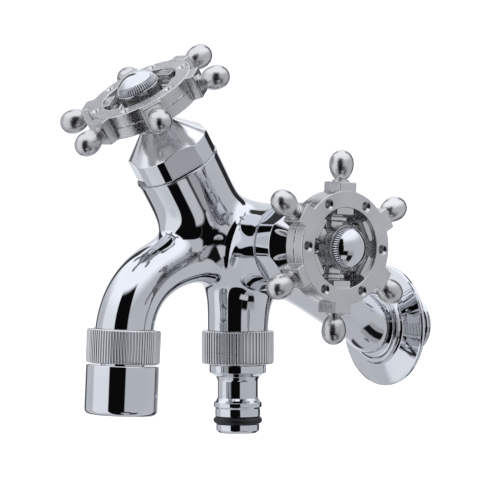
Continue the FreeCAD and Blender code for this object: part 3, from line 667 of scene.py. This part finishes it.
# ------------------------------------------------------------------ cap nuts
def wrench_rim(rad, half, turn):
    """Points and outward normals round a turned blank with four wrench flats."""
    out = []
    edge = math.acos(half / rad)
    for k in range(4):
        mid = math.radians(90.0 * k + turn)
        n = arr(math.cos(mid), math.sin(mid))
        t = arr(-n[1], n[0])
        w = rad * math.sin(edge)
        for q in np.linspace(-(w - 0.12), w - 0.12, 21):
            out.append((n * half + t * q, n))
        for a in np.linspace(mid + edge + 0.010, mid + math.pi / 2 - edge - 0.010, 19):
            m = arr(math.cos(a), math.sin(a))
            out.append((m * rad, m))
    return out


def make_cap_nut(tag, F, turn, cone=0):
    b = Build()
    rim = wrench_rim(15.3, 14.05, turn)
    n = len(rim)
    xy = np.array([p for p, _ in rim])
    nn = np.array([m for _, m in rim])
    r = np.linalg.norm(xy, axis=1)
    rad = xy / r[:, None]
    top_r, H, zc = 6.2, 16.6, 8.0
    slope = (H - zc) / (15.3 - top_r)
    zcr = zc + (15.3 - r) * slope                     # height where a flat meets the cone
    cn = np.concatenate([rad * slope, np.ones((n, 1))], 1)
    cn /= np.linalg.norm(cn, axis=1, keepdims=True)
    fn = np.concatenate([nn, np.zeros((n, 1))], 1)
    down = np.repeat([[0.0, 0.0, -1.0]], n, 0)
    up = -down
    bev = 0.22
    inward = -np.concatenate([rad, np.zeros((n, 1))], 1)

    def ring(scale_r, z):
        return np.concatenate([rad * np.asarray(scale_r).reshape(-1, 1) * np.ones((n, 1)), (np.zeros(n) + z)[:, None]], 1)

    mix = fn + cn
    mix /= np.linalg.norm(mix, axis=1, keepdims=True)
    dr = 1.0 / math.hypot(1.0, slope)
    rows = [
        (ring(12.7, 0.05), inward, down),
        (ring(r - 0.55, 0.05), down, down),
        (ring(r - 0.12, 0.30), (down + fn), (down + fn)),
        (ring(r, 0.75), fn, fn),
        (ring(r, zcr - bev), fn, fn),
        (ring(r - bev * 0.22, zcr + bev * 0.12), mix, mix),
        (ring(r - bev * dr, zcr + bev * dr * slope), cn, cn),
    ]
    for t in (0.2, 0.45, 0.7, 0.9):
        a = r - bev * dr
        rr = a + (top_r + 0.35 - a) * t
        rows.append((ring(rr, H - (rr - top_r) * slope), cn, cn))
    flat_top = up * 0.5 + cn * 0.5
    rows += [
        (ring(top_r + 0.30, H - 0.30 * slope), cn, cn),
        (ring(top_r, H - 0.02), flat_top, flat_top),
        (ring(top_r - 0.45, H + 0.28), up, up),
        (ring(4.85, H + 0.28), up, up),
        (ring(4.58, H + 0.03), up, inward),
        (ring(4.58, 13.9), inward, down),
        (ring(5.6, 13.9), down, inward),
        (ring(7.6, 12.4), inward, inward),
        (ring(8.0, 9.6), inward, down),
        (ring(9.35, 9.6), down, inward),
        (ring(9.35, 8.08), inward, down),
        (ring(12.7, 8.08), down, inward),
    ]
    V = np.concatenate([q for q, _, _ in rows])
    faces, normals, slots = [], [], []
    m = len(rows)
    for i in range(m):
        j = (i + 1) % m
        A, B = rows[i][2], rows[j][1]
        for k in range(n):
            l = (k + 1) % n
            faces.append([i * n + k, i * n + l, j * n + l, j * n + k])
            normals.append(np.array([A[k], A[l], B[l], B[k]]))
            # rows 6 to 10 are the cone; on the top nut they take the brightened chrome, which is painted light
            slots.append(cone if 6 <= i <= 10 else 0)
    b.add(V, faces, normals, 0, F)
    b.m = slots
    return place(b.object(tag + "_cap_nut_flats", [M_PLATE, M_CONE_LIT]), tag + "_cap_nut")


# top nut: its cone gets the brightened chrome, painted light; the side nut's identical cone stays plain plate
make_cap_nut("top", TOP_F, 67.0, 1)
make_cap_nut("side", SIDE_F, 36.3)


# ------------------------------------------------------------------ ship's wheels
def wheel_sdf(P):
    """Ring, spokes, tabs and knob blocks of the cast wheel; one sixth is described and repeated round the axis."""
    x, y, z = P[:, 0], P[:, 1], P[:, 2]
    r = np.hypot(x, y)
    a = np.arctan2(y, x)
    s = math.pi / 3
    a = a - s * np.round(a / s)
    u, v = r * np.cos(a), np.abs(r * np.sin(a))

    def box2(p, q, rho):
        return np.sqrt(np.maximum(p, 0) ** 2 + np.maximum(q, 0) ** 2) + np.minimum(np.maximum(p, q), 0) - rho

    rho = 0.34
    az = np.abs(z)
    ring = box2(np.abs(r - 16.85) - (2.85 - rho), az - (4.5 - rho), rho)
    # moulding line round the ring's outer wall
    seam = box2(np.abs(r - 19.7) - 0.09, az - 0.12, 0.02)
    hole = np.hypot(u - 16.9 * math.cos(s / 2), v - 16.9 * math.sin(s / 2)) - (1.08 + np.maximum(az - 3.55, 0) * 0.85)
    ring = -smin(-ring, hole, 0.2)
    ring = smin(ring, seam, 0.12)

    def block3(c, h, rb):
        q = [np.abs(w - c_) - (h_ - rb) for w, c_, h_ in zip((u, v, z), c, h)]
        return np.sqrt(sum(np.maximum(k, 0) ** 2 for k in q)) + np.minimum(np.maximum(q[0], np.maximum(q[1], q[2])), 0) - rb

    web = box2(np.abs(r - 9.8) - (5.2 - 0.2), np.abs(z + 3.35) - (0.65 - 0.2), 0.2)
    spoke = block3((10.5, 0.0, -2.4), (4.5, 3.0, 1.8), 0.9)
    bead = block3((10.0, 0.0, -2.05), (0.85, 3.8, 2.25), 0.6)
    tab = block3((13.2, 0.0, -0.45), (1.8, 3.9, 3.85), 0.25)
    block = block3((20.75, 0.0, 0.0), (2.05, 3.75, 4.4), 0.3)
    web = smin(web, smin(spoke, bead, 0.5), 0.7)
    ring = smin(ring, web, 0.7)
    return smin(smin(ring, tab, 0.3), block, 0.4)


def knob_rows(segs=40):
    c, L, W = 28.4, 5.5, 4.3
    rows = [(3.0, 21.9), (3.0, 23.2), (2.92, 23.4), (2.7, 23.5), (2.4, 23.55)]
    for s in np.concatenate([np.linspace(-0.86, 0.7, 26), np.sin(np.radians(np.linspace(47, 89, 12)))]):
        rr = W * math.sqrt(max(0.0, 1 - s * s)) * (1 + 0.09 * s)
        rows.append((rr, c + L * s))
    th = np.arange(segs) * 2 * math.pi / segs
    V = np.array([[(rr * math.cos(t), rr * math.sin(t), z) for t in th] for rr, z in rows])
    return V


WHEEL = {}


def wheel_mesh():
    if not WHEEL:
        h = 0.34
        V, Q = surface_net(wheel_sdf, (-24.1, -24.1, -5.4), (24.1, 24.1, 5.4), h)
        V = polish(wheel_sdf, V, 2, 0.3)
        G = gradient(wheel_sdf, V, 0.05)
        WHEEL["V"], WHEEL["Q"], WHEEL["N"] = V, Q, G
    return WHEEL["V"], WHEEL["Q"], WHEEL["N"]


def make_wheel(tag, F, phase):
    W = shifted(F, 27.0, phase)
    b = Build()
    V, Q, G = wheel_mesh()
    c = V[Q].mean(1)
    rc = np.hypot(c[:, 0], c[:, 1])
    band = (rc > 19.4) & (rc < 20.2) & (np.abs(c[:, 2]) < 4.3)
    for sel, slot in ((~band, 0), (band, 1)):
        b.add(V, Q[sel], [G[q] for q in Q[sel]], slot, W)
    # knobs
    K = knob_rows()
    for k in range(6):
        a = math.radians(60 * k)
        A = np.eye(4)
        A[:3, 2] = (math.cos(a), math.sin(a), 0)
        A[:3, 0] = (0, 0, 1)
        A[:3, 1] = np.cross(A[:3, 2], A[:3, 0])
        grid_shell(b, K, True, 2, W @ A, caps=True)
    # hub: boss under the wheel, cup above it
    lathe(b, [(3.62, -9.1), (5.5, -9.1, 0.35), (5.5, -4.2, 0.6), (7.2, -1.6, 1.2), (7.8, -0.7, 0.8), (7.8, 5.0), (7.1, 5.0), (7.1, 1.4, 0.3),
              (2.1, 1.4), (2.1, -1.4), (3.62, -1.4)], W, 0, 128)
    lathe(b, [(7.12, 4.95), (7.78, 4.95), (7.82, 5.1, 0.1), (7.74, 5.32, 0.1), (7.12, 5.34)], W, 3, 128)
    ob = b.object(tag + "_wheel_cast", [M_SATIN, M_BAND, M_KNOB, M_PLATE])
    return place(ob, tag + "_wheel_handle")


def make_spindle(tag, F):
    """Threaded brass spindle; the shaft that shows between cap nut and hub is plated."""
    b = Build()
    lathe(b, [(0, -5.6), (3.0, -7.2, 0.2), (3.0, -15.5, 0.2), (5.8, -15.5), (6.3, -15.0), (6.3, -12.5), (6.5, -12.1), (6.3, -11.2), (6.3, 2.6), (6.2, 3.2), (4.4, 3.5)]
          + [(4.4, 3.9), (2.0, 3.9), (2.0, 3.2), (0, 3.2)], F, 0, 96, closed=False)
    screw(b, F, -11.6, 3.2, 6.98, 0.55, 2.0, 6.0, 0, 96, floor=-11.2)
    lathe(b, [(1.7, 3.6), (4.38, 3.6), (4.5, 3.75), (4.5, 17.65, 0.1), (4.35, 17.8), (3.55, 17.8), (3.55, 25.0), (3.15, 25.4), (1.7, 25.4, 0.1)], F, 1, 96)
    return place(b.object(tag + "_spindle_threaded", [M_BRASS, M_PLATE]), tag + "_spindle")


def make_button(tag, F, phase):
    W = shifted(F, 27.0, phase)
    b = Build()
    # polished dome
    rim_r, foot, top = 6.45, 8.05, 10.7
    R = (rim_r**2 + (top - foot) ** 2) / (2 * (top - foot))
    a0 = math.asin(rim_r / R)
    dome = [(0.0, 4.2), (6.3, 4.2), (6.3, 7.9), (rim_r, 7.95, 0.06)]
    for i in range(20):
        a = a0 * (1 - i / 19.0)
        dome.append((R * math.sin(a) if i < 19 else 0.0, top - R + R * math.cos(a)))
    prof = dome
    lathe(b, prof, W, 0, 128, closed=False, steps=5)
    # toothed flank, tapering in towards the dome
    teeth, per = 54, 8
    n = teeth * per
    th = np.arange(n) * 2 * math.pi / n
    cut = np.array([0.0, 0.0, 0.0, 0.25, 0.85, 1.0, 0.85, 0.25])[np.arange(n) % per]
    rows = []
    for z, rad, dep in ((5.35, 6.3, 0), (5.35, 7.2, 0.6), (5.45, 7.5, 0.9), (5.6, 7.66, 1.0), (5.8, 7.68, 1.05), (6.5, 7.34, 1.0), (7.2, 6.98, 0.8), (7.65, 6.74, 0.5), (7.86, 6.55, 0.15), (7.9, 6.3, 0)):
        rr = rad - cut * dep
        rows.append(np.stack([rr * np.cos(th), rr * np.sin(th), np.full(len(th), z)], 1))
    grid_shell(b, np.array(rows), True, 0, W, caps=True)
    ob = b.object(tag + "_button_domed", [M_PLATE])
    return place(ob, tag + "_handle_button")


for tag, F, phase in (("top", TOP_F, 30.0), ("side", SIDE_F, -3.5)):
    make_wheel(tag, F, phase)
    make_button(tag, F, phase)
    make_spindle(tag, F)


# ------------------------------------------------------------------ outlets
def make_union_nut(tag, F, teeth):
    """Knurled nut; top face at Z = 0, body below."""
    b = Build()
    per = 8
    n = teeth * per
    th = np.arange(n) * 2 * math.pi / n
    k = np.arange(n) % per
    shape = np.array([0.0, 0.0, 0.06, 0.4, 1.0, 0.4, 0.06, 0.0])[k]
    depth = 0.5 if teeth < 70 else 0.36
    u = 12.0
    rows = []
    for z, rad, dep in ((-u, 8.2, 0), (-u, 12.3, 0), (-u + 0.05, 12.5, 0.1), (-u + 0.22, 12.78, 0.45), (-u + 0.5, 12.95, 0.8), (-u + 0.9, 13.0, 1), (-1.0, 13.0, 1),
                        (-0.55, 12.95, 0.9), (-0.22, 12.75, 0.5), (-0.05, 12.45, 0.12), (0.0, 12.2, 0), (0.0, 11.2, 0), (-0.35, 11.0, 0), (-0.9, 10.95, 0), (-1.0, 10.1, 0), (-10.64, 10.1, 0), (-10.64, 8.2, 0)):
        rr = rad - shape * dep * depth
        rows.append(np.stack([rr * np.cos(th), rr * np.sin(th), np.full(n, z)], 1))
    rows.append(rows[0])
    V = np.array(rows)
    a, c = V.shape[:2]
    faces = []
    for i in range(a - 1):
        i2 = (i + 1) % (a - 1)
        for j in range(c):
            l = (j + 1) % c
            faces.append([i * c + j, i * c + l, i2 * c + l, i2 * c + j])
    b.add(V[:-1].reshape(-1, 3), faces, None, 0, F)
    ob = b.object(tag + "_union_nut_knurled", [M_KNURL], angle=48)
    return place(ob, tag + "_union_nut")


make_union_nut("hose", HOSE_F, 62)
make_union_nut("spout", SPOUT_F, 76)


def make_nipple():
    b = Build()
    lathe(b, [(4.6, -36.9, 0.2), (7.0, -36.9, 0.9), (7.8, -35.9, 0.5), (7.8, -33.75, 0.12), (5.9, -33.75), (5.9, -30.85), (8.15, -30.85, 0.12), (8.15, -28.1, 0.25),
              (8.7, -27.4, 0.45), (8.7, -25.9, 0.45), (7.9, -25.1, 0.4), (7.3, -24.2, 0.8), (7.3, -18.0, 1.6), (8.2, -16.4, 1.6), (9.5, -15.6, 0.7), (10.3, -15.1, 0.3), (10.3, -12.35, 0.25),
              (7.8, -12.35), (7.8, -10.55), (9.65, -10.55), (9.65, -9.65), (4.6, -9.65)], HOSE_F, 0, 144, steps=8)
    return place(b.object("hose_nipple_turned", [M_PLATE]), "hose_nipple")


def make_o_ring():
    b = Build()
    R, rr = 7.45, 1.33
    pts = [(R + rr * math.cos(t), -32.3 + rr * 0.98 * math.sin(t)) for t in np.linspace(0, 2 * math.pi, 28, endpoint=False)]
    th = np.arange(96) * 2 * math.pi / 96
    V = np.array([[(p[0] * math.cos(t), p[0] * math.sin(t), p[1]) for t in th] for p in pts])
    a, c = V.shape[:2]
    faces = [[i * c + j, i * c + (j + 1) % c, ((i + 1) % a) * c + (j + 1) % c, ((i + 1) % a) * c + j] for i in range(a) for j in range(c)]
    b.add(V.reshape(-1, 3), faces, None, 0, HOSE_F)
    return place(b.object("hose_o_ring_moulded", [M_RUBBER]), "hose_o_ring")


def make_nozzle():
    b = Build()
    z0, z1 = -12.55, -30.2
    lathe(b, [(8.6, z1, 0.3), (12.9, z1, 3.6), (12.9, z0, 0.5), (7.8, z0), (7.8, -10.55), (9.65, -10.55), (9.65, -9.65), (6.8, -9.65), (6.8, -16.0, 0.6), (10.6, -18.0, 0.4),
              (10.6, -28.0), (8.6, -28.0)], SPOUT_F, 0, 192, steps=12)
    return place(b.object("spout_nozzle_turned", [M_PLATE]), "spout_nozzle")


make_nipple()
make_o_ring()
make_nozzle()

# ------------------------------------------------------------------ studio
RIGHT, UP, BACK = arr(0.6293, 0.7772, 0.0), arr(-0.0285, 0.0231, 0.9993), arr(0.7766, -0.6289, 0.0366)
cam_data = bpy.data.cameras.new("camera")
cam = bpy.data.objects.new("camera", cam_data)
bpy.context.scene.collection.objects.link(cam)
M = np.eye(4)
M[:3, 0], M[:3, 1], M[:3, 2], M[:3, 3] = unit(RIGHT), unit(np.cross(unit(BACK), unit(RIGHT))), unit(BACK), (0.98257, -0.86048, 0.07569)
cam.matrix_world = Matrix(M.tolist())
cam_data.sensor_width = 36.0
cam_data.lens = 253.1
cam_data.clip_start, cam_data.clip_end = 0.02, 60.0
bpy.context.scene.camera = cam


def studio_world():
    """Soft boxes, grey cards and dark gaps round the object, given by direction."""
    w = bpy.data.worlds.new("studio")
    w.use_nodes = True
    bpy.context.scene.world = w
    nt = w.node_tree
    bg = nt.nodes["Background"]
    d = nt.nodes.new("ShaderNodeTexCoord").outputs["Generated"]

    def dot(v):
        n = nt.nodes.new("ShaderNodeVectorMath")
        n.operation = "DOT_PRODUCT"
        nt.links.new(d, n.inputs[0])
        n.inputs[1].default_value = tuple(v)
        return n.outputs["Value"]

    def math_(op, a, b=None):
        n = nt.nodes.new("ShaderNodeMath")
        n.operation = op
        for i, s in enumerate((a, b)):
            if s is None:
                continue
            if isinstance(s, (int, float)):
                n.inputs[i].default_value = s
            else:
                nt.links.new(s, n.inputs[i])
        return n.outputs[0]

    rx, uy, bz = dot(unit(RIGHT)), dot(arr(0, 0, 1)), dot(unit(arr(BACK[0], BACK[1], 0)))
    az = math_("MULTIPLY", math_("ARCTAN2", rx, bz), 180 / math.pi)
    el = math_("MULTIPLY", math_("ARCSINE", uy), 180 / math.pi)

    def step(x, at, soft):
        m = nt.nodes.new("ShaderNodeMapRange")
        m.interpolation_type = "SMOOTHSTEP"
        m.inputs["From Min"].default_value = at - soft
        m.inputs["From Max"].default_value = at + soft
        nt.links.new(x, m.inputs["Value"])
        return m.outputs["Result"]

    def window(x, lo, hi, soft):
        a = step(x, lo, soft)
        b_ = step(x, hi, soft)
        return math_("SUBTRACT", a, b_)

    def zone(a0, a1, sa, e0, e1, se):
        return math_("MULTIPLY", window(az, a0, a1, sa), window(el, e0, e1, se))

    def blend(prev, fac, value):
        """prev * (1 - fac) + value * fac"""
        keep = math_("MULTIPLY", prev, math_("SUBTRACT", 1.0, fac))
        return math_("ADD", keep, math_("MULTIPLY", fac, value))

    L = blend(0.62, window(az, -140, -98, 3), 0.64)
    L = blend(L, window(az, -98, -36, 4), 0.99)
    L = blend(L, window(az, 68, 127, 2), 0.63)
    L = blend(L, step(el, 30, 14), 1.25)
    L = blend(L, step(math_("MULTIPLY", el, -1.0), 50, 15), 0.62)
    L = blend(L, zone(127, 156, 2, -60, 55, 6), 0.03)
    L = blend(L, zone(-158, -141, 2, -60, 55, 6), 0.05)
    L = blend(L, math_("MULTIPLY", step(math_("ABSOLUTE", az), 157, 2), window(el, -40, 40, 5)), 0.85)
    L = blend(L, zone(15, 62, 3, -72, -14, 5), 0.44)
    L = blend(L, zone(-39, 13, 1.5, -78, 42, 4), 0.004)
    L = blend(L, zone(12, 33, 2, -33, -12, 2.5), 0.004)
    L = blend(L, zone(31, 60, 2, -54, -29, 2.5), 0.008)
    L = blend(L, zone(1, 32, 2, -50, -32, 2), 0.66)
    comb = nt.nodes.new("ShaderNodeCombineColor")
    nt.links.new(math_("MULTIPLY", L, 0.965), comb.inputs[0])
    nt.links.new(math_("MULTIPLY", L, 0.990), comb.inputs[1])
    nt.links.new(math_("MULTIPLY", L, 1.045), comb.inputs[2])
    nt.links.new(comb.outputs[0], bg.inputs["Color"])
    bg.inputs["Strength"].default_value = 1.0


studio_world()


def stage():
    """Pale floor running up into a pale surround, seen by the camera only."""
    mat, nt, p = nodes_of("stage_paper")
    tc = nt.nodes.new("ShaderNodeTexCoord").outputs["Object"]
    p.inputs["Roughness"].default_value = 0.9
    n = noise(nt, 40.0, 2.0, coord=tc)
    mix = nt.nodes.new("ShaderNodeMix")
    mix.data_type = "RGBA"
    mix.inputs["A"].default_value = (0.86, 0.86, 0.86, 1)
    mix.inputs["B"].default_value = (0.88, 0.88, 0.88, 1)
    nt.links.new(n.outputs["Fac"], mix.inputs["Factor"])
    nt.links.new(mix.outputs["Result"], p.inputs["Base Color"])
    p.inputs["Emission Color"].default_value = (1, 1, 1, 1)
    p.inputs["Emission Strength"].default_value = 0.5
    R, H, c = 14.0, 9.0, 3.0
    rows = []
    z0 = -0.26
    for t in np.linspace(0.02, R - c, 6):
        rows.append((t, z0))
    for a in np.linspace(0, math.pi / 2, 10)[1:]:
        rows.append((R - c + c * math.sin(a), z0 + c - c * math.cos(a)))
    rows.append((R, H))
    th = np.arange(64) * 2 * math.pi / 64
    V = np.array([[(r * math.cos(t), -0.07 + r * math.sin(t), z) for t in th] for r, z in rows]) / MM
    b = Build()
    grid_shell(b, V, True, 0, None, flip=True)
    top = len(V) - 1
    ob = b.object("stage_floor", [mat])
    ob.visible_glossy = False
    ob.visible_diffuse = False
    ob.visible_transmission = False


stage()
sc = bpy.context.scene
sc.view_settings.view_transform = "Standard"
sc.view_settings.look = "None"
